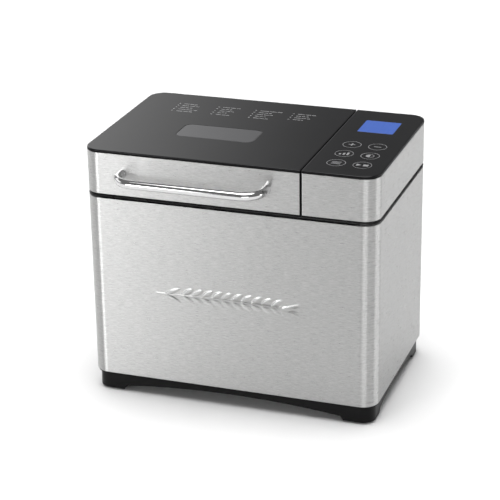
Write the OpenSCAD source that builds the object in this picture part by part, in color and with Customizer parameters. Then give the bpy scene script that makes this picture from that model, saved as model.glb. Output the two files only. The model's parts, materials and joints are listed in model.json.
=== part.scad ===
// Bread machine: steel-wrapped body, hinged lid over an oven chamber, lift-out pan with a bail,
// kneading paddle driven by a belt and motor, and a fixed control housing beside the lid.
// Millimetres. X runs left to right, Y front to back, Z up. The base centre is the origin.

/* [Body] */
// Width across the steel sides
body_w = 360; // [356:1:366]
// Depth from the front face to the back face
body_d = 233; // [232:1:238]
// Radius of the upright corners
corner_r = 20; // [18:1:22]
// Thickness of the steel sheet
sheet_t = 0.6; // [0.5:0.1:1]
// Height of the lower edge of the steel wrap
shell_bottom_z = 24.5; // [24:0.5:25]
// Height of the upper edge of the steel wrap
shell_top_z = 253.5; // [253:0.5:256]

/* [Lid and controls] */
// X position of the gap between the lid and the control housing
split_x = 89.8; // [88:0.2:91]
// Width of that gap
split_gap = 1.2; // [1:0.1:1.6]
// Height of the steel face on the lid and the control housing
face_h = 50.9; // [50:0.1:52]
// Thickness of the glossy top panels
panel_t = 3.5; // [3:0.1:4]
// Width of the viewing window
window_w = 98; // [90:1:99]
// Depth of the viewing window, front to back
window_d = 45; // [40:1:46]
// Width of the display, and its depth
display_size = 44; // [40:1:46]

/* [Handle] */
// Distance between the centres of the handle's legs
handle_span = 178.5; // [160:0.5:190]
// Distance from the lid's face to the bar's centre
handle_reach = 31; // [28:0.5:34]
// Radius of the round bar
handle_r = 5.2; // [4.8:0.1:5.6]
// Bend radius of the bar, at its centre
handle_bend = 24; // [18:1:25]

/* [Oven] */
// Inside width of the oven chamber
chamber_w = 220; // [216:1:222]
// Inside depth of the oven chamber, front to back
chamber_d = 170; // [166:1:172]
// Outside width of the bread pan
pan_w = 174; // [170:1:178]
// Outside depth of the bread pan, front to back
pan_d = 126; // [120:1:128]
// Height of the pan's rim above the ground
pan_top_z = 224.5; // [215:0.5:225]

/* [Drive] */
// Teeth on the large pulley
large_teeth = 100; // [96:1:100]
// Teeth on the motor pulley
small_teeth = 16; // [15:1:18]
// Radial clearance of a running fit
running_gap = 0.05; // [0.03:0.01:0.08]

/* [Hidden] */

// Overlap that cuts leave past a face
cut = 1;

// Tooth pitch of the belt and radius of the drive shafts
belt_pitch = 3;
shaft_r = 4;

// Front and back of the whole object, and the body's front face in the object's frame
rear_reach = 3;
front_y = handle_reach / 2 + handle_r / 2 - body_d / 2 - rear_reach / 2;

// Lid and control housing
lid_right = split_x - split_gap / 2;
control_left = split_x + split_gap / 2;
face_edge = 0.7;
rim_t = 1.9;
rim_inset = 1.2;
recess = 0.4;
ledge_h = 0.8;
deck_ledge_z = shell_top_z + 1.9;
deck_top_z = shell_top_z + 3.4;
lid_bottom_z = deck_top_z + 0.4;
face_bottom_z = lid_bottom_z + rim_t;
panel_bottom_z = face_bottom_z + face_h;
panel_top_z = panel_bottom_z + panel_t;
wall_t = 2.5;

// Centre of the chamber, window and pan in plan
oven_x = -44;
oven_y = 107;
window_x = -43.5;
window_y = 98;
display_x = 134.8;
display_y = 174;
key_xs = [120.8, 151.8];
key_ys = [37, 70, 103];

// Hinge: one axis for the whole lid, at two brackets
pivot_y = body_d - 7;
pivot_z = deck_top_z + 1.1;
barrel_r = 7;
hinge_xs = [-120, 32];
hinge_pin_r = 2;
knuckle_r = 5;
knuckle_half = 5.5;
valley_y = body_d - 15;
valley_z = shell_top_z - 3.3;
valley_t = 2.7;

// Heights of the drive and the oven, from the base upwards
floor_z = 20;
floor_t = 3;
belt_z = 28;
belt_w = 9;
plate_z = 44;
plate_t = 1.5;
housing_z = plate_z + plate_t;
chamber_z = housing_z + 19;
chamber_t = 0.6;
chamber_floor_z = chamber_z + chamber_t;
seat_top_z = chamber_floor_z + 14;
pan_floor_z = chamber_floor_z + 23;
element_z = 88;
element_r = 3.2;

// Motor
motor_x = 128;
motor_z = housing_z + 5;

// Pulleys and belt: the belt runs clear of both pulleys
large_r = large_teeth * belt_pitch / (2 * PI);
small_r = small_teeth * belt_pitch / (2 * PI);
belt_gap = 0.3;
belt_t = 1.6;
belt_run = motor_x - oven_x;

// Bail of the pan
bail_r = 2.2;
bail_z = pan_top_z + bail_r + 0.4;
bail_reach = 46;
bail_half = pan_w / 2 + 9;
bail_bend = 14;

// ---- Building blocks ----

// Moves parts drawn from the body's front face to the object's frame
module at_front() {
    translate([0, front_y, 0]) children();
}

// Box between two corners, as [low, high] on each axis
module span(x, y, z) {
    translate([x[0], y[0], z[0]]) cube([x[1] - x[0], y[1] - y[0], z[1] - z[0]]);
}

module rounded_rect(w, d, r) {
    square([w - 2 * r, d], center = true);
    square([w, d - 2 * r], center = true);
    for (x = [-1, 1], y = [-1, 1])
        translate([x * (w / 2 - r), y * (d / 2 - r)]) circle(r, $fn = 64);
}

module rounded_block(w, d, r, z) {
    translate([0, 0, z[0]]) linear_extrude(z[1] - z[0]) rounded_rect(w, d, r);
}

module rounded_ring(w, d, r, t, z) {
    difference() {
        rounded_block(w, d, r, z);
        rounded_block(w - 2 * t, d - 2 * t, r - t, [z[0] - cut, z[1] + cut]);
    }
}

// The body's plan outline as a block, drawn in by an inset
module outline_block(z, inset = 0) {
    translate([0, body_d / 2, 0])
        rounded_block(body_w - 2 * inset, body_d - 2 * inset, corner_r - inset, z);
}

// The same outline, cut to the lid's side or the control housing's side
module lid_block(z, inset = 0, right = lid_right) {
    intersection() {
        outline_block(z, inset);
        span([-body_w, right], [-cut, body_d + cut], [z[0] - cut, z[1] + cut]);
    }
}

module control_block(z, inset = 0, left = control_left) {
    intersection() {
        outline_block(z, inset);
        span([left, body_w], [-cut, body_d + cut], [z[0] - cut, z[1] + cut]);
    }
}

module rod_x(x, y, z, r) {
    translate([x[0], y, z]) rotate([0, 90, 0]) cylinder(h = x[1] - x[0], r = r, $fn = 48);
}

module rod_y(x, y, z, r) {
    translate([x, y[0], z]) rotate([-90, 0, 0]) cylinder(h = y[1] - y[0], r = r, $fn = 48);
}

module rod_z(x, y, z, r) {
    translate([x, y, z[0]]) cylinder(h = z[1] - z[0], r = r, $fn = 64);
}

module ring_z(x, y, z, r_out, r_in) {
    difference() {
        rod_z(x, y, z, r_out);
        rod_z(x, y, [z[0] - cut, z[1] + cut], r_in);
    }
}

// Quarter bend of round bar about a centre, starting at an angle in plan
module bend(centre, start, bend_r, bar_r) {
    translate(centre) rotate([0, 0, start])
        rotate_extrude(angle = 90, $fn = 96) translate([bend_r, 0]) circle(bar_r, $fn = 32);
}

// Shapes placed about the oven's centre
module at_oven() {
    at_front() translate([oven_x, oven_y, 0]) children();
}

// Pan head screw pointing up from its head
module screw_up(x, y, z, head_r, head_h, shank_r) {
    rod_z(x, y, [z[0], z[0] + head_h], head_r);
    rod_z(x, y, [z[0] + head_h - 0.1, z[1]], shank_r);
}

// ---- Body ----

// Space left at the back for the lid's hinge barrel
module hinge_valley() {
    span([-body_w, control_left + wall_t], [valley_y - wall_t, body_d + cut],
         [valley_z - valley_t, shell_top_z + cut]);
}

rear_opening = body_w / 2 - corner_r - 10;
rear_screw_x = rear_opening + 5;
rear_screw_zs = [50, 140, 230];
rear_screw_r = 1.5;

module body_shell() {
    color("silver") at_front() difference() {
        outline_block([shell_bottom_z, shell_top_z]);
        outline_block([shell_bottom_z - cut, shell_top_z + cut], sheet_t);
        span([-rear_opening, rear_opening], [body_d - corner_r, body_d + cut],
             [shell_bottom_z - cut, shell_top_z + cut]);
        hinge_valley();
        for (x = [-1, 1], z = rear_screw_zs)
            rod_y(x * rear_screw_x, [body_d - 5, body_d + cut], z, rear_screw_r);
    }
}

gland_x = 130;
gland_z = 46;
gland_r = 7;
gland_bore_r = 3.6;
vent_w = 44;
vent_h = 3;
vent_pitch = 7;
vent_rows = 9;

module vent_group(x, z) {
    for (i = [0 : vent_rows - 1])
        span([x, x + vent_w], [0, body_d + cut], [z + i * vent_pitch, z + i * vent_pitch + vent_h]);
}

module rear_panel() {
    panel_x = rear_opening + 8;
    panel_y = body_d - sheet_t;
    color("dimgray") at_front() difference() {
        span([-panel_x, panel_x], [panel_y - 0.8, panel_y], [shell_bottom_z, shell_top_z]);
        hinge_valley();
        vent_group(90, 90);
        vent_group(90, 170);
        vent_group(-140, 130);
        rod_y(gland_x, [0, body_d], gland_z, gland_r);
        for (x = [-1, 1], z = rear_screw_zs)
            rod_y(x * rear_screw_x, [body_d - 5, body_d + cut], z, rear_screw_r);
    }
}

module rear_screws() {
    color("gray") at_front()
        for (x = [-1, 1], z = rear_screw_zs) {
            rod_y(x * rear_screw_x, [body_d, body_d + 1.6], z, 3);
            rod_y(x * rear_screw_x, [body_d - 9, body_d + 0.1], z, rear_screw_r);
        }
}

// Plinth: a tray on four corner feet, its sides arched between them
plinth_inset = 4;
plinth_wall = 3;
plinth_bottom_z = 2;
foot_len = 39;
foot_side_len = 36;
arch_x = body_w / 2 - foot_len - 5;
arch_y = body_d / 2 - foot_side_len - 5;
arch_edge_z = 7.4;
arch_top_z = 15;
post_xs = [-105, 165];
post_ys = [45, 185];

// Radius of an arch that rises from arch_edge_z at its ends to arch_top_z in the middle
function arch_r(half, rise) = (half * half + rise * rise) / (2 * rise);

// Void under one side, drawn along X with its middle at the origin
module arch_void(half, depth) {
    rise = arch_top_z - arch_edge_z;
    r = arch_r(half, rise);
    intersection() {
        span([-half, half], [-depth, depth], [-cut, arch_top_z]);
        translate([0, -depth, arch_top_z - r]) rotate([-90, 0, 0])
            cylinder(h = 2 * depth, r = r, $fn = 720);
    }
    translate([0, depth, 0]) rotate([90, 0, 0]) linear_extrude(2 * depth)
        polygon([[-half - 7, -cut], [-half, arch_edge_z], [half, arch_edge_z], [half + 7, -cut]]);
}

module corner_feet() {
    foot_x = body_w / 2 - foot_len;
    intersection() {
        outline_block([plinth_bottom_z, floor_z], plinth_inset);
        for (x = [-1, 1], y = [0, 1])
            translate([x > 0 ? foot_x : -body_w / 2, y > 0 ? body_d - foot_side_len : 0, 0])
                cube([foot_len, foot_side_len, floor_z]);
    }
}

module base_plinth() {
    color([0.09, 0.09, 0.1]) at_front() difference() {
        union() {
            difference() {
                outline_block([plinth_bottom_z, shell_bottom_z - 2], plinth_inset);
                outline_block([-cut, floor_z], plinth_inset + plinth_wall);
            }
            corner_feet();
            outline_block([shell_bottom_z - 2, shell_bottom_z], 1.2);
            outline_block([shell_bottom_z - 2, shell_bottom_z + 5], 2.3);
        }
        outline_block([floor_z + floor_t, shell_bottom_z + 6], plinth_inset + plinth_wall);
        translate([0, body_d / 2, 0]) arch_void(arch_x, body_d);
        translate([0, body_d / 2, 0]) rotate([0, 0, 90]) arch_void(arch_y, body_w);
        for (x = post_xs, y = post_ys)
            rod_z(x, y, [0, floor_z + 9], 2);
        for (x = pad_xs, y = pad_ys)
            rod_z(x, y, [0, 8], 3);
    }
}

pad_xs = [-153, 153];
pad_ys = [25, body_d - 25];

module foot_pads() {
    color([0.05, 0.05, 0.05]) at_front()
        for (x = pad_xs, y = pad_ys) {
            rod_z(x, y, [0, plinth_bottom_z], 9);
            rod_z(x, y, [plinth_bottom_z - 0.1, 8], 3);
        }
}

module base_screws() {
    color("gray") at_front()
        for (x = post_xs, y = post_ys)
            screw_up(x, y, [floor_z - 2.5, floor_z + 14], 4, 2.5, 2);
}

// Rim round the top of the body, with the oven's mouth and the hinge valley
mouth_w = chamber_w - 4;
mouth_d = chamber_d - 4;

module deck_frame() {
    color([0.08, 0.08, 0.09]) at_front() difference() {
        union() {
            outline_block([shell_top_z, deck_top_z], 1);
            outline_block([shell_top_z, deck_ledge_z], recess);
            outline_block([deck_ledge_z, deck_ledge_z + ledge_h]);
            intersection() {
                outline_block([valley_z - valley_t, deck_top_z], 1);
                span([-body_w, control_left + wall_t], [valley_y - wall_t, body_d + cut],
                     [valley_z - valley_t, deck_top_z]);
            }
        }
        span([-body_w, control_left], [valley_y, body_d + cut], [valley_z, deck_top_z + cut]);
        translate([oven_x, oven_y, 0])
            rounded_block(mouth_w, mouth_d, 18, [shell_top_z - cut, deck_top_z + cut]);
        rod_z(harness_x, harness_y, [shell_top_z - cut, deck_top_z + cut], 4);
        for (x = hinge_xs, dx = [-8, 8])
            rod_z(x + dx, pivot_y, [0, deck_top_z], 1);
    }
}

module hinge_brackets() {
    ear_in = knuckle_half + 0.5;
    ear_out = ear_in + 3;
    color("gray") at_front()
        for (x = hinge_xs) difference() {
            union() {
                span([x - 11, x + 11], [pivot_y - 6, pivot_y + 6], [valley_z, valley_z + 1.5]);
                for (side = [-1, 1]) {
                    low = x + (side > 0 ? ear_in : -ear_out);
                    span([low, low + 3], [pivot_y - knuckle_r, pivot_y + knuckle_r],
                         [valley_z, pivot_z]);
                    rod_x([low, low + 3], pivot_y, pivot_z, knuckle_r);
                }
            }
            rod_x([x - 20, x + 20], pivot_y, pivot_z, hinge_pin_r);
        }
}

module hinge_pins() {
    color("silver") at_front()
        for (x = hinge_xs) {
            rod_x([x - knuckle_half - 4, x + knuckle_half + 4], pivot_y, pivot_z, hinge_pin_r);
            rod_x([x + knuckle_half + 3.5, x + knuckle_half + 5], pivot_y, pivot_z, 3.2);
        }
}

module cord_gland() {
    inner_y = body_d - sheet_t - 7;
    color([0.07, 0.07, 0.07]) at_front() difference() {
        union() {
            rod_y(gland_x, [inner_y, body_d - sheet_t + 0.1], gland_z, gland_r);
            rod_y(gland_x, [body_d - sheet_t, body_d + rear_reach], gland_z, gland_r + 3);
        }
        rod_y(gland_x, [inner_y - cut, body_d + rear_reach + cut], gland_z, gland_bore_r);
    }
}

// ---- Control housing ----

module control_housing() {
    color([0.08, 0.08, 0.09]) at_front() difference() {
        union() {
            control_block([deck_top_z, face_bottom_z], rim_inset);
            control_block([face_bottom_z, panel_bottom_z], sheet_t);
            intersection() {
                control_block([face_bottom_z, panel_bottom_z]);
                span([0, control_left + face_edge], [-cut, body_d + cut], [0, panel_top_z]);
            }
        }
        control_block([deck_top_z - cut, panel_bottom_z + cut], sheet_t + wall_t,
                      control_left + wall_t);
    }
}

module control_fascia() {
    color("silver") at_front() difference() {
        control_block([face_bottom_z, panel_bottom_z], 0, control_left + face_edge);
        outline_block([face_bottom_z - cut, panel_bottom_z + cut], sheet_t);
    }
}

module display_opening(size, z) {
    translate([display_x, display_y, 0]) rounded_block(size, size, 1.5, z);
}

module control_panel() {
    color([0.03, 0.03, 0.035]) at_front() difference() {
        control_block([panel_bottom_z, panel_top_z]);
        display_opening(display_size, [panel_bottom_z - cut, panel_top_z + cut]);
    }
}

module display_lens() {
    color([0.3, 0.5, 0.9]) at_front()
        display_opening(display_size - 0.2, [panel_bottom_z + 0.5, panel_top_z - 0.1]);
}

board_z = panel_bottom_z - 14;
board_t = 1.6;

module display_module() {
    color([0.2, 0.3, 0.7]) at_front()
        display_opening(display_size + 6, [board_z + board_t, panel_bottom_z - 0.2]);
}

module control_board() {
    board_x = [control_left + 8, body_w / 2 - 8];
    color([0.05, 0.35, 0.15]) at_front() {
        span(board_x, [22, 205], [board_z, board_z + board_t]);
        span([120, 142], [118, 140], [board_z + board_t - 0.1, board_z + board_t + 3]);
        for (x = [board_x[0] + 4, board_x[1] - 4], y = [30, 198])
            rod_z(x, y, [deck_top_z, board_z + 0.1], 3);
    }
}

module touch_pads() {
    color("goldenrod") at_front()
        for (x = key_xs, y = key_ys)
            ring_z(x, y, [board_z + board_t, panel_bottom_z], 6, 4.6);
}

// ---- Oven ----

chamber_r = 20;
chamber_outer_r = 21;
seat_r = 50;
seat_lip_r = 41;
seat_bore_r = 34;
seat_screw_r = 45.5;
seat_hole_r = 2;
terminal_y = 15;
sensor_z = 140;
element_half = [chamber_w / 2 - 11, chamber_d / 2 - 11];
element_bend = 30;

module seat_screw_places() {
    for (a = [45 : 90 : 315])
        rotate([0, 0, a]) translate([seat_screw_r, 0, 0]) children();
}

module oven_chamber() {
    wall = [chamber_w + 2 * chamber_t, chamber_d + 2 * chamber_t];
    flange_w = 7;
    color("gainsboro") at_oven() difference() {
        union() {
            rounded_block(wall[0], wall[1], chamber_outer_r, [chamber_z, shell_top_z]);
            rounded_block(wall[0] + 2 * flange_w, wall[1] + 2 * flange_w, chamber_outer_r + flange_w,
                          [shell_top_z - 1, shell_top_z]);
        }
        rounded_block(chamber_w, chamber_d, chamber_r, [chamber_floor_z, shell_top_z + cut]);
        rod_z(0, 0, [chamber_z - cut, chamber_floor_z + cut], 9);
        seat_screw_places() rod_z(0, 0, [chamber_z - cut, chamber_floor_z + cut], seat_hole_r);
        for (y = [-terminal_y, terminal_y])
            rod_x([chamber_w / 2 - cut, chamber_w / 2 + 2], y, element_z, 4);
        rod_y(0, [chamber_d / 2 - cut, chamber_d / 2 + 2], sensor_z, 2.5);
    }
}

// Tubular heater: one open loop round the pan, its ends leaving through the right wall
module heating_element() {
    hx = element_half[0];
    hy = element_half[1];
    b = element_bend;
    color([0.25, 0.23, 0.22]) at_oven() {
        for (y = [-1, 1]) {
            rod_x([-hx + b, hx - b], y * hy, element_z, element_r);
            rod_y(hx, y > 0 ? [terminal_y, hy - b] : [-hy + b, -terminal_y], element_z, element_r);
            translate([hx, y * terminal_y, element_z]) sphere(element_r, $fn = 32);
            rod_x([hx, chamber_w / 2 + 11], y * terminal_y, element_z, element_r);
        }
        rod_y(-hx, [-hy + b, hy - b], element_z, element_r);
        bend([hx - b, hy - b, element_z], 0, b, element_r);
        bend([-hx + b, hy - b, element_z], 90, b, element_r);
        bend([-hx + b, -hy + b, element_z], 180, b, element_r);
        bend([hx - b, -hy + b, element_z], 270, b, element_r);
    }
}

module heater_clips() {
    low = element_z - element_r - 2;
    color("gray") at_oven()
        for (side = [-1, 1], x = [-45, 45]) {
            wall_y = side * chamber_d / 2;
            tip_y = side * (element_half[1] - 4);
            span([x - 5, x + 5], [min(wall_y, tip_y), max(wall_y, tip_y)], [low, low + 2]);
            span([x - 5, x + 5], [min(wall_y, wall_y - side * 1.5), max(wall_y, wall_y - side * 1.5)],
                 [low, element_z + 8]);
        }
}

module temperature_sensor() {
    color("silver") at_oven() {
        rod_y(0, [chamber_d / 2 - 14, chamber_d / 2 + 4], sensor_z, 2.5);
        rod_y(0, [chamber_d / 2 + chamber_t, chamber_d / 2 + 4], sensor_z, 6);
    }
}

module thermal_fuse() {
    color("white") at_oven()
        span([chamber_w / 2 + chamber_t, chamber_w / 2 + 5], [-45, -25], [150, 157]);
}

module heat_shield() {
    shield_x = oven_x + chamber_w / 2 + 7.5;
    color("lightgray") at_front() difference() {
        span([shield_x, shield_x + 0.5], [14, body_d - 16], [housing_z + 2, shell_top_z - 8]);
        span([shield_x - cut, shield_x + 2], [oven_y - 22, oven_y + 22],
             [element_z - 7, element_z + 7]);
    }
}

// Casting on the chamber floor that holds the pan's foot ring
module pan_seat() {
    color([0.72, 0.73, 0.74]) at_oven() difference() {
        rod_z(0, 0, [chamber_floor_z, seat_top_z], seat_r);
        rod_z(0, 0, [chamber_floor_z + 2.5, seat_top_z + cut], seat_lip_r);
        rod_z(0, 0, [chamber_z, seat_top_z + cut], seat_bore_r);
        seat_screw_places() rod_z(0, 0, [chamber_z, seat_top_z + cut], seat_hole_r);
    }
}

module seat_screws() {
    color("gray") at_oven() seat_screw_places() {
        rod_z(0, 0, [seat_top_z, seat_top_z + 2], 3.6);
        rod_z(0, 0, [chamber_z - 3, seat_top_z + 0.1], seat_hole_r);
    }
}

// ---- Drive, fixed parts ----

module drive_frame() {
    color("dimgray") at_front() difference() {
        union() {
            span([-118, 174], [36, 194], [plate_z, plate_z + plate_t]);
            for (x = post_xs, y = post_ys)
                rod_z(x, y, [floor_z + floor_t, plate_z + 0.1], 6);
        }
        rod_z(oven_x, oven_y, [plate_z - cut, plate_z + plate_t + cut], 10);
        rod_z(motor_x, oven_y, [plate_z - cut, plate_z + plate_t + cut], 14);
        for (x = post_xs, y = post_ys)
            rod_z(x, y, [0, floor_z + 14], 2);
    }
}

bush_r = 8;

module bearing_housing() {
    color([0.7, 0.71, 0.72]) at_oven() difference() {
        union() {
            rod_z(0, 0, [housing_z, housing_z + 3], 24);
            rod_z(0, 0, [housing_z, chamber_z], 14);
        }
        rod_z(0, 0, [housing_z - cut, chamber_z + cut], bush_r);
    }
}

module drive_bushes() {
    color("peru") at_oven()
        for (z = [housing_z + 1, chamber_z - 7])
            ring_z(0, 0, [z, z + 6], bush_r, shaft_r + running_gap);
}

// Outline that a belt takes round both pulleys, grown by an amount
module belt_outline(grow) {
    hull() {
        circle(large_r + grow, $fn = 128);
        translate([belt_run, 0]) circle(small_r + grow, $fn = 64);
    }
}

module drive_belt() {
    color([0.1, 0.1, 0.1]) at_oven() difference() {
        translate([0, 0, belt_z]) linear_extrude(belt_w) belt_outline(belt_gap + belt_t);
        translate([0, 0, belt_z - cut]) linear_extrude(belt_w + 2 * cut) belt_outline(belt_gap);
    }
}

// Motor: end bells and a laminated stack, hollow for the rotor core
mount_xy = 28;
motor_w = 72;
motor_h = 74;
motor_wall = 3;
bell_r = 30;
stack_zs = [22, 52];
core_r = 20;
tunnel_r = core_r + 0.6;

module motor_body() {
    color([0.45, 0.46, 0.48]) at_front() translate([motor_x, oven_y, motor_z]) difference() {
        union() {
            rod_z(0, 0, [0, motor_h], bell_r);
            rounded_block(motor_w, motor_w, 6, stack_zs);
            rounded_block(motor_w, motor_w, 6, [0, motor_wall]);
        }
        rod_z(0, 0, [motor_wall, stack_zs[0]], bell_r - motor_wall);
        rod_z(0, 0, [stack_zs[0] - cut, stack_zs[1] + cut], tunnel_r);
        rod_z(0, 0, [stack_zs[1], motor_h - motor_wall], bell_r - motor_wall);
        rod_z(0, 0, [-cut, motor_h + cut], shaft_r + running_gap);
    }
}

module motor_mounts() {
    color([0.06, 0.06, 0.06]) at_front() translate([motor_x, oven_y, 0])
        for (x = [-mount_xy, mount_xy], y = [-mount_xy, mount_xy])
            rod_z(x, y, [housing_z, motor_z], 7);
}

module run_capacitor() {
    color("whitesmoke") at_front() rod_z(104, 174, [housing_z, housing_z + 52], 14);
}

module power_board() {
    board_y = 206;
    color([0.1, 0.4, 0.2]) at_front() {
        span([86, 150], [board_y, board_y + board_t], [64, 160]);
        span([92, 122], [board_y - 22, board_y + 0.1], [118, 146]);
        span([128, 146], [board_y - 16, board_y + 0.1], [70, 90]);
        span([128, 146], [board_y - 16, board_y + 0.1], [96, 112]);
    }
}

module terminal_block() {
    color("ivory") at_front() span([112, 148], [198, 212], [floor_z + floor_t, floor_z + 18]);
}

harness_x = 160;
harness_y = 212;
cable_r = 3;

// Ball that closes a corner between two runs of the cable
module cable_corner(y, z) {
    translate([harness_x, y, z]) sphere(cable_r, $fn = 32);
}

module wiring_harness() {
    low_y = harness_y - 6;
    start_z = floor_z + 12;
    step_z = start_z + 12;
    top_z = board_z - 3;
    color([0.5, 0.1, 0.1]) at_front() {
        rod_x([148, harness_x], low_y, start_z, cable_r);
        cable_corner(low_y, start_z);
        rod_z(harness_x, low_y, [start_z, step_z], cable_r);
        cable_corner(low_y, step_z);
        rod_y(harness_x, [low_y, harness_y], step_z, cable_r);
        cable_corner(harness_y, step_z);
        rod_z(harness_x, harness_y, [step_z, top_z], cable_r);
        cable_corner(harness_y, top_z);
        rod_y(harness_x, [190, harness_y], top_z, cable_r);
    }
}

// ---- Drive, moving parts ----

module drive_shaft() {
    color("silver") at_oven() rod_z(0, 0, [belt_z - 3, seat_top_z - 7], shaft_r);
}

// Dog on top of the drive shaft: two prongs that push the paddle shaft's bar
module drive_coupling() {
    hub_z = chamber_floor_z + 3;
    color([0.6, 0.6, 0.62]) at_oven() difference() {
        union() {
            rod_z(0, 0, [hub_z, hub_z + 4], 10);
            for (side = [-1, 1])
                span([side > 0 ? 5 : -10, side > 0 ? 10 : -5], [-3, 3], [hub_z, hub_z + 8.5]);
        }
        rod_z(0, 0, [hub_z - cut, hub_z + 9], shaft_r);
    }
}

module large_pulley() {
    color([0.75, 0.75, 0.7]) at_oven() difference() {
        union() {
            rod_z(0, 0, [belt_z - 0.5, belt_z + belt_w + 0.5], large_r);
            rod_z(0, 0, [belt_z - 0.5, belt_z + belt_w + 4], 11);
        }
        difference() {
            rod_z(0, 0, [belt_z + 3, belt_z + belt_w + 1], large_r - 4);
            rod_z(0, 0, [belt_z, belt_z + belt_w + 2], 14);
        }
        rod_z(0, 0, [belt_z - 2, belt_z + belt_w + 5], shaft_r);
    }
}

// Shaft with the rotor's core on it
module motor_shaft() {
    color("silver") at_front() {
        rod_z(motor_x, oven_y, [belt_z - 3, motor_z + motor_h + 18], shaft_r);
        rod_z(motor_x, oven_y, [motor_z + stack_zs[0], motor_z + stack_zs[1]], core_r);
    }
}

module motor_fan() {
    blade_z = motor_z + motor_h + 4;
    color([0.15, 0.15, 0.16]) at_front() translate([motor_x, oven_y, 0]) difference() {
        union() {
            rod_z(0, 0, [blade_z, blade_z + 12], 9);
            rod_z(0, 0, [blade_z, blade_z + 1.5], 28);
            for (a = [0 : 45 : 315])
                rotate([0, 0, a]) span([8, 28], [-0.8, 0.8], [blade_z, blade_z + 12]);
        }
        rod_z(0, 0, [blade_z - cut, blade_z + 13], shaft_r);
    }
}

module motor_pulley() {
    color([0.6, 0.6, 0.62]) at_front() difference() {
        union() {
            rod_z(motor_x, oven_y, [belt_z - 0.8, belt_z + belt_w + 0.8], small_r);
            rod_z(motor_x, oven_y, [belt_z - 2, belt_z - 0.8], small_r + 2.5);
            rod_z(motor_x, oven_y, [belt_z + belt_w + 0.8, belt_z + belt_w + 2], small_r + 2.5);
        }
        rod_z(motor_x, oven_y, [belt_z - 3, belt_z + belt_w + 3], shaft_r);
    }
}

// ---- Lid ----

seal_w = 242;
seal_d = 192;
seal_r = 24;
seal_ring = 7;
liner_z = face_bottom_z;
liner_flange = 3;
liner_t = 0.8;
dome_w = 214;
dome_d = 154;
dome_r = 22;
window_r = 9;
pane_lap = 8;
leaf_reach = 19.4;
leaf_t = 3;
dome_top_z = face_bottom_z + 37;
gasket_inset = 4;
handle_x = -40.2;
handle_z = 286.5;
handle_screw_r = 2;

module hinge_barrel() {
    intersection() {
        rod_x([-body_w / 2, lid_right], pivot_y, pivot_z, barrel_r);
        union() {
            outline_block([pivot_z - 10, face_bottom_z]);
            outline_block([face_bottom_z, pivot_z + 10], sheet_t);
        }
    }
}

module lid_frame() {
    color([0.08, 0.08, 0.09]) at_front() difference() {
        union() {
            lid_block([lid_bottom_z, face_bottom_z], rim_inset);
            lid_block([face_bottom_z, panel_bottom_z], sheet_t);
            intersection() {
                lid_block([face_bottom_z, panel_bottom_z]);
                span([lid_right - face_edge, lid_right + cut], [-cut, body_d + cut],
                     [0, panel_top_z]);
            }
            hinge_barrel();
        }
        difference() {
            lid_block([face_bottom_z, panel_bottom_z + cut], sheet_t + wall_t,
                      lid_right - wall_t);
            hinge_barrel();
        }
        translate([oven_x, oven_y, 0])
            rounded_block(seal_w, seal_d, seal_r, [lid_bottom_z - cut, face_bottom_z + cut]);
        for (x = hinge_xs)
            span([x - 11.5, x + 11.5], [valley_y - 3, body_d + cut], [0, pivot_z + 10]);
        handle_screw_places() rod_y(0, [-cut, 6], 0, handle_screw_r);
    }
}

module lid_skin() {
    color("silver") at_front() difference() {
        lid_block([face_bottom_z, panel_bottom_z], 0, lid_right - face_edge);
        outline_block([face_bottom_z - cut, panel_bottom_z + cut], sheet_t);
        span([-rear_opening, body_w], [body_d - corner_r, body_d + cut],
             [face_bottom_z - cut, panel_bottom_z + cut]);
        handle_screw_places() rod_y(0, [-cut, 6], 0, handle_screw_r);
    }
}

module window_block(w, d, r, z) {
    translate([window_x, window_y, 0]) rounded_block(w, d, r, z);
}

module lid_panel() {
    color([0.03, 0.03, 0.035]) at_front() difference() {
        lid_block([panel_bottom_z, panel_top_z]);
        window_block(window_w, window_d, window_r, [panel_bottom_z - cut, panel_top_z + cut]);
    }
}

module viewing_window() {
    color([0.5, 0.52, 0.55, 0.6]) at_front()
        window_block(window_w - 0.2, window_d - 0.2, window_r - 0.1,
                     [panel_bottom_z, panel_top_z - 0.1]);
}

module window_gasket() {
    color("dimgray") at_front() difference() {
        window_block(window_w + pane_lap, window_d + pane_lap, 10, [dome_top_z + 3, panel_bottom_z]);
        window_block(window_w - gasket_inset, window_d - gasket_inset, 8,
                     [dome_top_z, panel_bottom_z + cut]);
    }
}

module inner_pane() {
    color([0.7, 0.75, 0.78, 0.5]) at_front()
        window_block(window_w + pane_lap, window_d + pane_lap, 10, [dome_top_z, dome_top_z + 3]);
}

// Pressed inner skin: flange round the chamber's mouth and a dome with the window's hole
module lid_liner() {
    color("gainsboro") at_front() difference() {
        translate([oven_x, oven_y, 0]) {
            rounded_block(seal_w + 2 * liner_flange, seal_d + 2 * liner_flange, seal_r + liner_flange,
                          [liner_z, liner_z + liner_t]);
            rounded_block(dome_w, dome_d, dome_r, [liner_z, dome_top_z]);
        }
        translate([oven_x, oven_y, 0])
            rounded_block(dome_w - 2 * liner_t, dome_d - 2 * liner_t, dome_r - liner_t,
                          [liner_z - cut, dome_top_z - liner_t]);
        window_block(window_w - pane_lap, window_d - pane_lap, 6, [dome_top_z - 2, dome_top_z + cut]);
    }
}

module lid_seal() {
    color([0.55, 0.55, 0.57]) at_front() translate([oven_x, oven_y, 0])
        rounded_ring(seal_w, seal_d, seal_r, seal_ring, [deck_top_z + 0.3, face_bottom_z]);
}

module handle_screw_places() {
    for (side = [-1, 1])
        translate([handle_x + side * handle_span / 2, 0, handle_z]) children();
}

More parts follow.
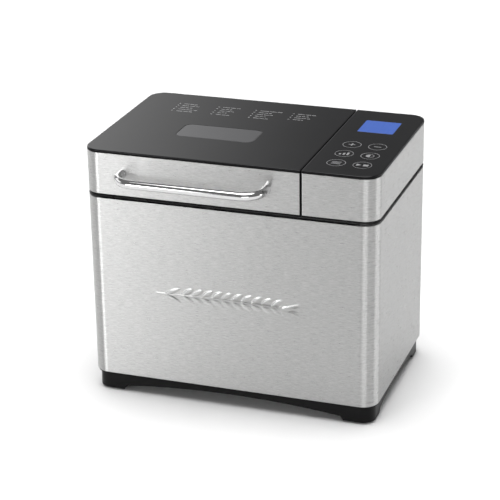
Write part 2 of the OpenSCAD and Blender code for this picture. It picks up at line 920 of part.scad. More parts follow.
module lid_handle() {
    half = handle_span / 2;
    straight = half - handle_bend;
    leg = handle_reach - handle_bend;
    color("white") at_front() translate([handle_x, 0, handle_z]) difference() {
        union() {
            rod_x([-straight, straight], -handle_reach, 0, handle_r);
            bend([straight, -leg, 0], 270, handle_bend, handle_r);
            bend([-straight, -leg, 0], 180, handle_bend, handle_r);
            for (x = [-half, half])
                rod_y(x, [-leg, 0], 0, handle_r);
        }
        for (x = [-half, half])
            rod_y(x, [-leg, cut], 0, handle_screw_r);
    }
}

module handle_screws() {
    inside_y = sheet_t + wall_t;
    color("gray") at_front() handle_screw_places() {
        rod_y(0, [inside_y, inside_y + 2.4], 0, 4);
        rod_y(0, [handle_bend - handle_reach, inside_y + 0.1], 0, handle_screw_r);
    }
}

module hinge_leaves() {
    leaf_y = pivot_y - leaf_reach;
    color("gray") at_front()
        for (x = hinge_xs) difference() {
            union() {
                rod_x([x - knuckle_half, x + knuckle_half], pivot_y, pivot_z, knuckle_r);
                span([x - knuckle_half, x + knuckle_half], [leaf_y, pivot_y],
                     [face_bottom_z, face_bottom_z + leaf_t]);
                span([x - 10, x + 10], [leaf_y, valley_y - 4],
                     [face_bottom_z, face_bottom_z + leaf_t]);
            }
            rod_x([x - 20, x + 20], pivot_y, pivot_z, hinge_pin_r + running_gap);
        }
}

// ---- Pan ----

pan_t = 1.5;
pan_r = 22;
pan_rim = 4;
bearing_r = 8;
foot_ring_r = 40;
foot_ring_in_r = 36;
rivet_ys = [-5, 5];

module bread_pan() {
    color([0.2, 0.2, 0.21]) at_oven() difference() {
        union() {
            rounded_block(pan_w, pan_d, pan_r, [pan_floor_z, pan_top_z]);
            rounded_block(pan_w + 2 * pan_rim, pan_d + 2 * pan_rim, pan_r + pan_rim,
                          [pan_top_z - 2, pan_top_z]);
        }
        rounded_block(pan_w - 2 * pan_t, pan_d - 2 * pan_t, pan_r - pan_t,
                      [pan_floor_z + pan_t, pan_top_z + cut]);
        rod_z(0, 0, [pan_floor_z - cut, pan_floor_z + 3], bearing_r);
        for (side = [-1, 1], y = rivet_ys)
            rod_x(side > 0 ? [pan_w / 2 - 3, pan_w / 2 + cut] : [-pan_w / 2 - cut, 3 - pan_w / 2],
                  y, ear_z, 2);
    }
}

module pan_base() {
    color([0.72, 0.73, 0.74]) at_oven() union() {
        ring_z(0, 0, [chamber_floor_z + 3, pan_floor_z], foot_ring_r, foot_ring_in_r);
        ring_z(0, 0, [pan_floor_z - 1.5, pan_floor_z], 52, foot_ring_in_r);
    }
}

module pan_bearing() {
    color("goldenrod") at_oven() difference() {
        union() {
            rod_z(0, 0, [pan_floor_z - 8, pan_floor_z + 8], bearing_r);
            rod_z(0, 0, [pan_floor_z - 4, pan_floor_z], 14);
            rod_z(0, 0, [pan_floor_z + pan_t, pan_floor_z + pan_t + 3.5], 12);
        }
        rod_z(0, 0, [pan_floor_z - 9, pan_floor_z + 9], shaft_r + running_gap);
    }
}

ear_z = pan_top_z - 15;

// Riveted plates that carry the bail's ends above the rim
module pan_ears() {
    plate_x = pan_w / 2 + 4;
    color("silver") at_oven()
        for (side = [0, 180]) rotate([0, 0, side]) difference() {
            union() {
                span([plate_x, plate_x + 2], [-9, 9], [ear_z - 8, bail_z]);
                rod_x([plate_x, plate_x + 2], 0, bail_z, 9);
                span([pan_w / 2, plate_x], [-9, 9], [ear_z - 6, ear_z + 6]);
                for (y = rivet_ys)
                    rod_x([pan_w / 2 - pan_t - 1.2, plate_x + 3.2], y, ear_z, 2);
                for (y = rivet_ys, x = [pan_w / 2 - pan_t - 1.2, plate_x + 2])
                    rod_x([x, x + 1.2], y, ear_z, 3.4);
            }
            rod_x([plate_x - cut, plate_x + 4], 0, bail_z, bail_r + running_gap);
        }
}

module bail_handle() {
    straight_x = bail_half - bail_bend;
    straight_y = bail_reach - bail_bend;
    pin_x = pan_w / 2 + 1.5;
    color("silver") at_oven() translate([0, 0, bail_z]) {
        for (side = [-1, 1]) {
            rod_x(side > 0 ? [pin_x, bail_half] : [-bail_half, -pin_x], 0, 0, bail_r);
            translate([side * bail_half, 0, 0]) sphere(bail_r, $fn = 32);
            rod_y(side * bail_half, [-straight_y, 0], 0, bail_r);
        }
        rod_x([-straight_x, straight_x], -bail_reach, 0, bail_r);
        bend([straight_x, -straight_y, 0], 270, bail_bend, bail_r);
        bend([-straight_x, -straight_y, 0], 180, bail_bend, bail_r);
    }
}

// ---- Kneading ----

bar_z = chamber_floor_z + 8;
paddle_z = pan_floor_z + 9;

module paddle_shaft() {
    color("silver") at_oven() {
        rod_z(0, 0, [bar_z, paddle_z + 24], shaft_r);
        span([-2.5, 2.5], [-9, 9], [bar_z, bar_z + 5]);
    }
}

module shaft_circlip() {
    color("gray") at_oven() ring_z(0, 0, [bar_z + 5.4, bar_z + 6.4], 6.5, shaft_r);
}

module kneading_paddle() {
    color([0.16, 0.16, 0.17]) at_oven() difference() {
        union() {
            rod_z(0, 0, [paddle_z, paddle_z + 22], 8);
            translate([0, 0, paddle_z]) rotate([0, 0, 20])
                span([4, 46], [-2.2, 2.2], [0, 30]);
        }
        rod_z(0, 0, [paddle_z - cut, paddle_z + 24], shaft_r);
        translate([0, 0, paddle_z + 14]) rotate([0, 0, 20]) rotate([0, -24, 0])
            span([6, 60], [-10, 10], [8, 40]);
    }
}

body_shell();
rear_panel();
base_plinth();
foot_pads();
base_screws();
rear_screws();
deck_frame();
hinge_brackets();
hinge_pins();
cord_gland();
control_housing();
control_fascia();
control_panel();
display_lens();
display_module();
control_board();
touch_pads();
oven_chamber();
heating_element();
heater_clips();
temperature_sensor();
thermal_fuse();
heat_shield();
pan_seat();
seat_screws();
drive_frame();
bearing_housing();
drive_bushes();
drive_belt();
motor_body();
motor_mounts();
run_capacitor();
power_board();
terminal_block();
wiring_harness();
drive_shaft();
drive_coupling();
large_pulley();
motor_shaft();
motor_fan();
motor_pulley();
lid_frame();
lid_skin();
lid_panel();
viewing_window();
inner_pane();
window_gasket();
lid_liner();
lid_seal();
lid_handle();
handle_screws();
hinge_leaves();
bread_pan();
pan_base();
pan_bearing();
pan_ears();
bail_handle();
paddle_shaft();
kneading_paddle();
shaft_circlip();
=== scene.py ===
"""Looks of the bread machine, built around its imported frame. Metres, +X right, +Y back, +Z up."""
import json
import math

import bmesh
import bpy
import numpy as np
from mathutils import Matrix, Vector


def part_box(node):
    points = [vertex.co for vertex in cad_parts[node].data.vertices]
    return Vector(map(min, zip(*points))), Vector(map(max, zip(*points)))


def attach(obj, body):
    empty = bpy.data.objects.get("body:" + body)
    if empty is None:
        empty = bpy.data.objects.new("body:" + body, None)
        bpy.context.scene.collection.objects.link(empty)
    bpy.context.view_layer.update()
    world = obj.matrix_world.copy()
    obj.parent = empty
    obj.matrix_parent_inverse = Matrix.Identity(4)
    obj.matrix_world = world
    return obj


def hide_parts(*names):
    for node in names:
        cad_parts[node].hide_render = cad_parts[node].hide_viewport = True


MM = 0.001
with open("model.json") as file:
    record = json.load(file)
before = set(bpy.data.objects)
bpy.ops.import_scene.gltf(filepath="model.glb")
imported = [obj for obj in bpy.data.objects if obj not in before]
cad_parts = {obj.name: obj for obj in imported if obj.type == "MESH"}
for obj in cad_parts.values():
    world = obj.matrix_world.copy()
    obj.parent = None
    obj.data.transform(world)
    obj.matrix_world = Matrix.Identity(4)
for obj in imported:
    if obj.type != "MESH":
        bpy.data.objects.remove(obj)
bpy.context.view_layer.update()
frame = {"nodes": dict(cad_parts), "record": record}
nodes = frame["nodes"]


def corner(node, side):
    """Low (0) or high (1) corner of a CAD node, in metres."""
    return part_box(node)[side]


# ---- Driving sizes, read from the frame ----

body_low, body_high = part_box("body_shell")
LEFT, RIGHT = body_low.x, body_high.x
FRONT, BACK = body_low.y, body_high.y
SHELL_BOTTOM, SHELL_TOP = body_low.z, body_high.z
FACE_BOTTOM, FACE_TOP = corner("lid_skin", 0).z, corner("lid_skin", 1).z
PANEL_TOP = corner("lid_panel", 1).z
LID_RIGHT = corner("lid_panel", 1).x
CONTROL_LEFT = corner("control_panel", 0).x
DECK_TOP = corner("control_housing", 0).z
CORNER = 20 * MM
SHEET = 0.6 * MM
FOLD = 0.5 * MM
RETURN_X = RIGHT - 30 * MM
SUPPORT = 0.5 * MM
ARC_STEPS = 14
# Clearance cut in the body's rear edge for the lid's hinge barrel
VALLEY_X = CONTROL_LEFT + 2.5 * MM
VALLEY_Y = BACK - 17.5 * MM
VALLEY_Z = SHELL_TOP - 6 * MM


# ---- Node helpers ----

class Nodes:
    """Short way to build a material's node tree."""

    def __init__(self, name):
        self.material = bpy.data.materials.new(name)
        self.material.use_nodes = True
        self.tree = self.material.node_tree
        self.shader = self.tree.nodes["Principled BSDF"]

    def add(self, kind, **values):
        node = self.tree.nodes.new(kind)
        for key, value in values.items():
            if key in node.inputs:
                node.inputs[key].default_value = value
            else:
                setattr(node, key, value)
        return node

    def link(self, out, target):
        self.tree.links.new(out, target)

    def set(self, **values):
        for key, value in values.items():
            self.shader.inputs[key.replace("_", " ")].default_value = value

    def coordinates(self, scale):
        """Object coordinates, stretched by a scale."""
        source = self.add("ShaderNodeTexCoord")
        mapping = self.add("ShaderNodeMapping")
        mapping.inputs["Scale"].default_value = scale
        self.link(source.outputs["Object"], mapping.inputs["Vector"])
        return mapping.outputs["Vector"]

    def noise(self, scale, detail=3.0, roughness=0.5):
        """Noise value between 0 and 1 over stretched object coordinates."""
        node = self.add("ShaderNodeTexNoise", Scale=1.0, Detail=detail, Roughness=roughness)
        self.link(self.coordinates(scale), node.inputs["Vector"])
        return node.outputs["Fac"]

    def ramp(self, value, low, high, start=0.3, end=0.7):
        """Maps a value onto a range of numbers."""
        node = self.add("ShaderNodeMapRange")
        node.inputs["From Min"].default_value = start
        node.inputs["From Max"].default_value = end
        node.inputs["To Min"].default_value = low
        node.inputs["To Max"].default_value = high
        self.link(value, node.inputs["Value"])
        return node.outputs["Result"]

    def mix(self, factor, first, second):
        """Colour between two colours."""
        node = self.add("ShaderNodeMix", data_type="RGBA")
        node.inputs["A"].default_value = (*first, 1)
        node.inputs["B"].default_value = (*second, 1)
        self.link(factor, node.inputs["Factor"])
        return node.outputs["Result"]

    def bump(self, height, distance, strength):
        node = self.add("ShaderNodeBump", Strength=strength, Distance=distance)
        self.link(height, node.inputs["Height"])
        self.link(node.outputs["Normal"], self.shader.inputs["Normal"])


# ---- Materials ----

def brushed_steel():
    """Stainless sheet with a fine horizontal grain and faint mottling."""
    m = Nodes("brushed_stainless")
    m.set(Metallic=1.0, Anisotropic=1.0, Anisotropic_Rotation=0.25)
    tangent = m.add("ShaderNodeTangent", direction_type="RADIAL", axis="Z")
    m.link(tangent.outputs["Tangent"], m.shader.inputs["Tangent"])
    grain = m.noise((260, 260, 2600), detail=3.0, roughness=0.6)
    mottle = m.noise((90, 90, 1300), detail=3.0)
    both = m.add("ShaderNodeMath", operation="ADD")
    m.link(grain, both.inputs[0])
    m.link(mottle, both.inputs[1])
    m.link(m.mix(m.ramp(both.outputs[0], 0, 1, 0.75, 1.25), (0.35, 0.35, 0.348), (0.5, 0.5, 0.495)),
           m.shader.inputs["Base Color"])
    m.link(m.ramp(mottle, 0.27, 0.31), m.shader.inputs["Roughness"])
    m.bump(grain, 0.004 * MM, 0.3)
    return m.material


def gloss_black():
    """Black glass-like panel: very smooth, with a trace of unevenness."""
    m = Nodes("gloss_black_panel")
    m.set(IOR=1.5, Specular_IOR_Level=0.28)
    cloud = m.noise((30, 30, 30), detail=2.0)
    m.link(m.mix(cloud, (0.0025, 0.0025, 0.003), (0.005, 0.005, 0.006)),
           m.shader.inputs["Base Color"])
    m.link(m.ramp(m.noise((90, 90, 90), detail=3.0), 0.03, 0.055), m.shader.inputs["Roughness"])
    return m.material


def panel_edge():
    """Satin black of the glossy panels' cut edges."""
    m = Nodes("panel_edge_black")
    m.set(Specular_IOR_Level=0.1)
    grain = m.noise((600, 600, 600), detail=2.0)
    m.link(m.mix(grain, (0.002, 0.002, 0.0022), (0.004, 0.004, 0.0042)),
           m.shader.inputs["Base Color"])
    m.link(m.ramp(grain, 0.45, 0.6), m.shader.inputs["Roughness"])
    return m.material


def smoked_glass():
    m = Nodes("smoked_window")
    m.set(IOR=1.5)
    cloud = m.noise((45, 45, 45), detail=3.0)
    m.link(m.mix(cloud, (0.05, 0.05, 0.053), (0.06, 0.06, 0.063)), m.shader.inputs["Base Color"])
    m.link(m.ramp(cloud, 0.05, 0.08), m.shader.inputs["Roughness"])
    return m.material


def black_plastic(name="satin_black_plastic", low=0.32, high=0.42, tone=0.0025, shine=0.12):
    """Moulded plastic with a fine spark texture."""
    m = Nodes(name)
    m.set(Specular_IOR_Level=shine)
    grain = m.noise((1800, 1800, 1800), detail=2.0)
    cloud = m.noise((25, 25, 25), detail=2.0)
    m.link(m.mix(cloud, (tone, tone, tone * 1.06), (tone * 1.5, tone * 1.5, tone * 1.6)),
           m.shader.inputs["Base Color"])
    m.link(m.ramp(cloud, low, high), m.shader.inputs["Roughness"])
    m.bump(grain, 0.03 * MM, 0.3)
    return m.material


def rubber():
    m = Nodes("foot_rubber")
    grain = m.noise((900, 900, 900), detail=3.0)
    m.link(m.mix(grain, (0.012, 0.012, 0.012), (0.028, 0.028, 0.028)),
           m.shader.inputs["Base Color"])
    m.link(m.ramp(grain, 0.7, 0.85), m.shader.inputs["Roughness"])
    m.bump(grain, 0.06 * MM, 0.4)
    return m.material


def chrome():
    m = Nodes("polished_chrome")
    m.set(Metallic=1.0)
    wear = m.noise((220, 220, 220), detail=4.0)
    m.link(m.mix(wear, (0.6, 0.6, 0.605), (0.68, 0.68, 0.68)), m.shader.inputs["Base Color"])
    m.link(m.ramp(wear, 0.035, 0.075), m.shader.inputs["Roughness"])
    return m.material


def plain_metal(name, first, second, rough, scale=(160, 160, 160), distance=0.02 * MM):
    """Sheet, cast or plated metal with small uneven patches."""
    m = Nodes(name)
    m.set(Metallic=1.0)
    patches = m.noise(scale, detail=4.0)
    m.link(m.mix(patches, first, second), m.shader.inputs["Base Color"])
    m.link(m.ramp(patches, rough[0], rough[1]), m.shader.inputs["Roughness"])
    m.bump(patches, distance, 0.4)
    return m.material


def coating(name, first, second, rough, scale=500, distance=0.04 * MM):
    """Paint, non-stick or silicone: a fine grain over a plain tone."""
    m = Nodes(name)
    grain = m.noise((scale, scale, scale), detail=3.0)
    m.link(m.mix(grain, first, second), m.shader.inputs["Base Color"])
    m.link(m.ramp(grain, rough[0], rough[1]), m.shader.inputs["Roughness"])
    m.bump(grain, distance, 0.35)
    return m.material


def display_blue():
    """Backlit display: a blue field with faint upright lines."""
    m = Nodes("display_blue")
    m.set(IOR=1.45, Emission_Strength=0.5)
    lines = m.noise((1500, 40, 40), detail=1.0)
    m.link(m.mix(lines, (0.02, 0.05, 0.2), (0.03, 0.07, 0.25)), m.shader.inputs["Base Color"])
    m.link(m.mix(lines, (0.05, 0.12, 0.46), (0.06, 0.14, 0.52)), m.shader.inputs["Emission Color"])
    m.link(m.ramp(lines, 0.08, 0.12), m.shader.inputs["Roughness"])
    return m.material


def ink():
    m = Nodes("printed_ink")
    speckle = m.noise((2500, 2500, 2500), detail=2.0)
    m.link(m.mix(speckle, (0.2, 0.2, 0.205), (0.3, 0.3, 0.305)), m.shader.inputs["Base Color"])
    m.link(m.ramp(speckle, 0.4, 0.55), m.shader.inputs["Roughness"])
    return m.material


STEEL = brushed_steel()
GLOSS = gloss_black()
EDGE = panel_edge()
WINDOW = smoked_glass()
PLASTIC = black_plastic()
LEDGE = black_plastic("deck_ledge_plastic", 0.25, 0.32, 0.006, 0.5)
RUBBER = rubber()
CHROME = chrome()
INK = ink()
DISPLAY = display_blue()
PLATED = plain_metal("plated_sheet", (0.53, 0.53, 0.53), (0.58, 0.58, 0.575), (0.3, 0.36),
                     (700, 700, 700), 0.004 * MM)
ZINC = plain_metal("zinc_plate", (0.42, 0.43, 0.45), (0.58, 0.58, 0.57), (0.28, 0.42),
                   (420, 420, 420))
CAST = plain_metal("cast_aluminium", (0.5, 0.5, 0.51), (0.66, 0.66, 0.66), (0.38, 0.5),
                   (700, 700, 700), 0.08 * MM)
BRONZE = plain_metal("sintered_bronze", (0.42, 0.26, 0.1), (0.56, 0.38, 0.17), (0.35, 0.5),
                     (900, 900, 900))
IRON = plain_metal("motor_laminations", (0.1, 0.1, 0.105), (0.2, 0.2, 0.2), (0.4, 0.55),
                   (90, 90, 2400), 0.1 * MM)
SHEATH = plain_metal("element_sheath", (0.07, 0.06, 0.055), (0.16, 0.13, 0.11), (0.45, 0.6),
                     (300, 300, 300))
NONSTICK = coating("nonstick_coating", (0.022, 0.022, 0.024), (0.05, 0.05, 0.053), (0.3, 0.4), 1400)
PAINT = coating("powder_coat", (0.035, 0.035, 0.037), (0.055, 0.055, 0.058), (0.4, 0.55),
                1100, 0.08 * MM)
SILICONE = coating("silicone_seal", (0.2, 0.2, 0.205), (0.26, 0.26, 0.265), (0.5, 0.62), 400)
MOULDED = coating("moulded_component", (0.58, 0.57, 0.53), (0.68, 0.67, 0.63), (0.4, 0.5), 700)
BOARD = coating("circuit_board", (0.015, 0.12, 0.04), (0.03, 0.2, 0.07), (0.25, 0.4), 260)
CABLE = coating("cable_sleeve", (0.3, 0.035, 0.03), (0.42, 0.06, 0.05), (0.5, 0.65), 900)

SLOT_LOOKS = {
    "stainless": STEEL, "gloss_black": GLOSS, "black_plastic": PLASTIC, "chrome": CHROME,
    "window_tint": WINDOW, "clear_glass": WINDOW, "display_blue": DISPLAY, "foot_rubber": RUBBER,
    "seal_silicone": SILICONE, "plated_steel": PLATED, "zinc_steel": ZINC, "motor_iron": IRON,
    "component_plastic": MOULDED, "rear_paint": PAINT, "circuit_board": BOARD,
    "cable_jacket": CABLE, "element_sheath": SHEATH, "cast_aluminium": CAST, "bronze": BRONZE,
    "nonstick": NONSTICK,
}


def dress_frame():
    """Gives every CAD node the finished material of its slot."""
    for entry in frame["record"]["subparts"]:
        data = nodes[entry["node"]].data
        data.materials.clear()
        data.materials.append(SLOT_LOOKS[entry["material_slot"]])


# ---- Mesh helpers ----

def make_piece(name, points, faces, material, body, node=None, angle=40):
    """Smooth mesh with crisp edges, riding on a body and standing for a CAD node."""
    mesh = bpy.data.meshes.new(name)
    mesh.from_pydata([tuple(p) for p in points], [], faces)
    mesh.validate()
    tool = bmesh.new()
    tool.from_mesh(mesh)
    bmesh.ops.recalc_face_normals(tool, faces=tool.faces)
    tool.to_mesh(mesh)
    tool.free()
    mesh.materials.append(material)
    piece = bpy.data.objects.new(name, mesh)
    bpy.context.scene.collection.objects.link(piece)
    for polygon in mesh.polygons:
        polygon.use_smooth = True
    mesh.set_sharp_from_angle(angle=math.radians(angle))
    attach(piece, body)
    if node:
        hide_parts(node)
    return piece


def carve(piece, low, high):
    """Cuts a box-shaped opening out of a piece."""
    mesh = bpy.data.meshes.new("cutter")
    tool = bmesh.new()
    bmesh.ops.create_cube(tool, size=1)
    for vertex in tool.verts:
        vertex.co = [(a + b) / 2 + c * (b - a) for a, b, c in zip(low, high, vertex.co)]
    tool.to_mesh(mesh)
    tool.free()
    cutter = bpy.data.objects.new("cutter", mesh)
    bpy.context.scene.collection.objects.link(cutter)
    modifier = piece.modifiers.new("opening", "BOOLEAN")
    modifier.object = cutter
    modifier.operation = "DIFFERENCE"
    modifier.solver = "EXACT"
    shaped = piece.evaluated_get(bpy.context.evaluated_depsgraph_get())
    result = bpy.data.meshes.new_from_object(shaped)
    piece.modifiers.clear()
    piece.data = result
    bpy.data.objects.remove(cutter)


def rounded_loop(x, y, radii, z):
    """Closed plan loop of a rectangle, each corner with its own radius.

    The radii go anticlockwise from the front left.
    """
    centres = [
        (x[0], y[0], 1, 1, 180, radii[0]), (x[1], y[0], -1, 1, 270, radii[1]),
        (x[1], y[1], -1, -1, 0, radii[2]), (x[0], y[1], 1, -1, 90, radii[3]),
    ]
    loop = []
    for cx, cy, sx, sy, start, radius in centres:
        for i in range(ARC_STEPS + 1):
            a = math.radians(start + 90 * i / ARC_STEPS)
            loop.append((cx + sx * radius + radius * math.cos(a),
                         cy + sy * radius + radius * math.sin(a), z))
    return loop


def inset_loop(x, y, radii, inset, z):
    """The loop drawn in by an inset, its corners staying concentric."""
    return rounded_loop((x[0] + inset, x[1] - inset), (y[0] + inset, y[1] - inset),
                        [max(r - inset, 0.15 * MM) for r in radii], z)


def skin_loops(loops, closed=False):
    """Points and faces that join a stack of equal loops, capped or closed on itself."""
    count = len(loops[0])
    points = [p for loop in loops for p in loop]
    faces = []
    rows = len(loops) if closed else len(loops) - 1
    for row in range(rows):
        below = row * count
        above = ((row + 1) % len(loops)) * count
        for i in range(count):
            j = (i + 1) % count
            faces.append((below + i, below + j, above + j, above + i))
    if not closed:
        faces.append(tuple(range(count)))
        faces.append(tuple(range(len(points) - count, len(points))))
    return points, faces


def rounded_profile(inset, z, radius, steps):
    """Points of a quarter round on an edge, as (inset, height) pairs from the side to the top."""
    return [(inset + radius * (1 - math.cos(a)), z + radius * (math.sin(a) - 1))
            for a in [math.pi / 2 * i / steps for i in range(steps + 1)]]


def sweep(path, normals, profile):
    """Closed profile of (offset, height) pairs carried along an open plan path."""
    count = len(profile)
    points = []
    for (px, py), (nx, ny) in zip(path, normals):
        points += [(px + nx * off, py + ny * off, z) for off, z in profile]
    faces = []
    rings = len(path)
    for i in range(rings - 1):
        a, b = i * count, (i + 1) * count
        for k in range(count):
            m = (k + 1) % count
            faces.append((a + k, b + k, b + m, a + m))
    faces.append(tuple(range(count)))
    faces.append(tuple(range((rings - 1) * count, rings * count)))
    return points, faces


def arc_path(centre, start, end, radius, steps=ARC_STEPS):
    """Plan points and outward normals on an arc, angles in degrees."""
    path, normals = [], []
    for i in range(steps + 1):
        a = math.radians(start + (end - start) * i / steps)
        path.append((centre[0] + radius * math.cos(a), centre[1] + radius * math.sin(a)))
        normals.append((math.cos(a), math.sin(a)))
    return path, normals


def flat_path(start, end, normal):
    """Two support points just inside the ends of a flat run, which keep its shading flat."""
    along = Vector((end[0] - start[0], end[1] - start[1]))
    step = along.normalized() * SUPPORT
    path = [(start[0] + step.x, start[1] + step.y), (end[0] - step.x, end[1] - step.y)]
    return path, [normal] * 2


def join_paths(*parts):
    path = [p for part in parts for p in part[0]]
    normals = [n for part in parts for n in part[1]]
    return path, normals


def left_flat():
    return flat_path((LEFT, BACK - CORNER), (LEFT, FRONT + CORNER), (-1, 0))


def right_flat():
    return flat_path((RIGHT, FRONT + CORNER), (RIGHT, BACK - CORNER), (1, 0))


def corner_arc(x_side, y_side):
    """Arc of one body corner, walked anticlockwise in plan."""
    cx = LEFT + CORNER if x_side < 0 else RIGHT - CORNER
    cy = FRONT + CORNER if y_side < 0 else BACK - CORNER
    start = {(-1, -1): 180, (1, -1): 270, (1, 1): 0, (-1, 1): 90}[(x_side, y_side)]
    return arc_path((cx, cy), start, start + 90, CORNER)


# ---- Steel skins ----

def sheet_profile(bottom, top, heights=None):
    """Sheet section with its edges rolled over, the outer face at the given heights."""
    turns = [math.pi / 2 * i / 4 for i in range(4)]
    below = [(-FOLD + FOLD * math.sin(a), bottom + FOLD - FOLD * math.cos(a)) for a in turns]
    above = [(-FOLD + FOLD * math.sin(a), top - FOLD + FOLD * math.cos(a)) for a in reversed(turns)]
    heights = heights or [bottom + FOLD, bottom + FOLD + SUPPORT, top - FOLD - SUPPORT, top - FOLD]
    return [(-SHEET, bottom)] + below + [(0, z) for z in heights] + above + [(-SHEET, top)]


def leaf(x, z, cx, cz, length, width, turn):
    """Height 0 to 1 of one pointed grain, its long axis turned from the X axis."""
    c, s = math.cos(math.radians(turn)), math.sin(math.radians(turn))
    u = ((x - cx) * c + (z - cz) * s) / (length / 2)
    v = (-(x - cx) * s + (z - cz) * c) / (width / 2)
    bluntness, flank = 2.2, 2.6
    belly = np.clip(1 - np.abs(u) ** bluntness, 0, 1)
    edge = np.abs(v) / np.maximum(belly, 0.001)
    return np.where((np.abs(u) < 1) & (edge < 1), np.clip((1 - edge) * flank, 0, 1), 0)


def wheat_height(x, z):
    """Relief of a lying ear of wheat: a stalk, paired grains and fine awns, 0 to 1."""
    centre = 139.5 * MM
    stalk_ends = (-92 * MM, 62 * MM)
    wave, sway = 18, 1.5 * MM
    sag = centre + sway * np.sin((x - stalk_ends[0]) * wave)
    stalk = np.clip(1.6 - np.abs(z - sag) / (0.9 * MM), 0, 1)
    stalk = np.where((x > stalk_ends[0]) & (x < stalk_ends[1]), stalk, 0)
    height = stalk
    grains = 10
    pitch = 12.4 * MM
    first = -56 * MM
    for i in range(grains):
        gx = first + i * pitch
        gz = centre + sway * math.sin((gx - stalk_ends[0]) * wave)
        for side in (-1, 1):
            height = np.maximum(height, leaf(x, z, gx + 5 * MM, gz + side * 5.6 * MM,
                                             16 * MM, 6.4 * MM, side * 32))
    tip_x = first + grains * pitch
    height = np.maximum(height, leaf(x, z, tip_x + 6 * MM, centre + 1 * MM, 17 * MM, 6 * MM, 4))
    awn_end = tip_x + 22 * MM
    for side, slope in ((-1, 0.3), (1, 0.3), (-1, 0.12), (1, 0.12)):
        line = centre + side * (1.2 * MM + (x - tip_x) * slope)
        taper = np.clip((awn_end - x) / (9 * MM), 0, 1)
        awn = np.clip(1.5 - np.abs(z - line) / (0.55 * MM), 0, 1) * taper
        height = np.maximum(height, np.where((x > tip_x - 4 * MM) & (x < awn_end), awn, 0))
    for side in (-1, 1):
        height = np.maximum(height, leaf(x, z, -71 * MM, centre + side * 4.6 * MM,
                                         22 * MM, 5.5 * MM, side * 24))
    return height


def spread(*stretches):
    """Coordinates along stretches of (start, end, pieces), each start kept once."""
    values = []
    for start, end, pieces in stretches:
        values += [start + (end - start) * i / pieces for i in range(pieces)]
    values.append(stretches[-1][1])
    return values


def build_body_shell():
    """Wrap round the front and sides, the wheat motif pressed out of its front face."""
    relief = 0.75 * MM
    relief_x = (-95 * MM, 92 * MM)
    relief_z = (124 * MM, 155 * MM)
    cell = 0.55 * MM
    columns = spread((LEFT + CORNER + SUPPORT, relief_x[0], 4),
                     (relief_x[0], relief_x[1], int((relief_x[1] - relief_x[0]) / cell)),
                     (relief_x[1], RIGHT - CORNER - SUPPORT, 4))
    rows = [SHELL_BOTTOM + FOLD]
    rows += spread((SHELL_BOTTOM + FOLD + SUPPORT, relief_z[0], 4),
                   (relief_z[0], relief_z[1], int((relief_z[1] - relief_z[0]) / cell)),
                   (relief_z[1], SHELL_TOP - FOLD - SUPPORT, 4))
    rows.append(SHELL_TOP - FOLD)
    front = ([(x, FRONT) for x in columns], [(0, -1)] * len(columns))
    path, normals = join_paths(
        ([(-RETURN_X, BACK)], [(0, 1)]), corner_arc(-1, 1), left_flat(), corner_arc(-1, -1), front,
        corner_arc(1, -1), right_flat(), corner_arc(1, 1), ([(RETURN_X, BACK)], [(0, 1)]))
    points, faces = sweep(path, normals, sheet_profile(SHELL_BOTTOM, SHELL_TOP, rows))
    grid = np.array(points)
    x, y, z = grid.T
    on_plane = 1e-6
    face = ((np.abs(y - FRONT) < on_plane) & (x > relief_x[0]) & (x < relief_x[1])
            & (z > relief_z[0]) & (z < relief_z[1]))
    height = wheat_height(x[face], z[face])
    grid[face, 1] -= relief * height * height * (3 - 2 * height)
    wrap = make_piece("body_wrap", grid.tolist(), faces, STEEL, "housing",
                      "body_shell", angle=50)
    past = 10 * MM
    carve(wrap, (LEFT - past, VALLEY_Y, VALLEY_Z), (VALLEY_X, BACK + past, SHELL_TOP + past))


def build_lid_skin():
    """Steel face of the lid: back return, left side and front, ending short of the gap."""
    end_x = corner("lid_skin", 1).x
    path, normals = join_paths(
        ([(-RETURN_X, BACK)], [(0, 1)]), corner_arc(-1, 1), left_flat(), corner_arc(-1, -1),
        flat_path((LEFT + CORNER, FRONT), (end_x - SHEET, FRONT), (0, -1)),
        arc_path((end_x - SHEET, FRONT + SHEET), 270, 350, SHEET, 4))
    points, faces = sweep(path, normals, sheet_profile(FACE_BOTTOM, FACE_TOP))
    make_piece("lid_wrap", points, faces, STEEL, "lid", "lid_skin", angle=50)


def build_control_fascia():
    """Steel face of the control housing, from the gap at the front round to the back."""
    start_x = corner("control_fascia", 0).x
    path, normals = join_paths(
        arc_path((start_x + SHEET, FRONT + SHEET), 190, 270, SHEET, 4),
        flat_path((start_x + SHEET, FRONT), (RIGHT - CORNER, FRONT), (0, -1)),
        corner_arc(1, -1), right_flat(), corner_arc(1, 1),
        flat_path((RIGHT - CORNER, BACK), (start_x, BACK), (0, 1)), ([(start_x, BACK)], [(0, 1)]))
    points, faces = sweep(path, normals, sheet_profile(FACE_BOTTOM, FACE_TOP))
    make_piece("control_wrap", points, faces, STEEL, "housing", "control_fascia",
               angle=50)


# ---- Glossy top panels ----

def panel_with_hole(x, radii, hole_x, hole_y, hole_r, bottom, top):
    """Slab with a rounded top edge and a rounded hole right through."""
    y = (FRONT, BACK)
    edge = 1.1 * MM
    lip = 0.3 * MM
    chamfer = 0.4 * MM
    outside = [(chamfer, bottom), (0, bottom + chamfer), (0, top - edge - SUPPORT)]
    outside += rounded_profile(0, top, edge, 6) + [(edge + SUPPORT, top)]
    loops = [inset_loop(x, y, radii, inset, z) for inset, z in outside]
    hole_radii = [hole_r] * 4
    hole = [(-lip - SUPPORT, top), (-lip, top), (-lip * 0.3, top - lip * 0.3),
            (0, top - lip), (0, bottom)]
    loops += [inset_loop(hole_x, hole_y, hole_radii, inset, z) for inset, z in hole]
    return skin_loops(loops, closed=True)


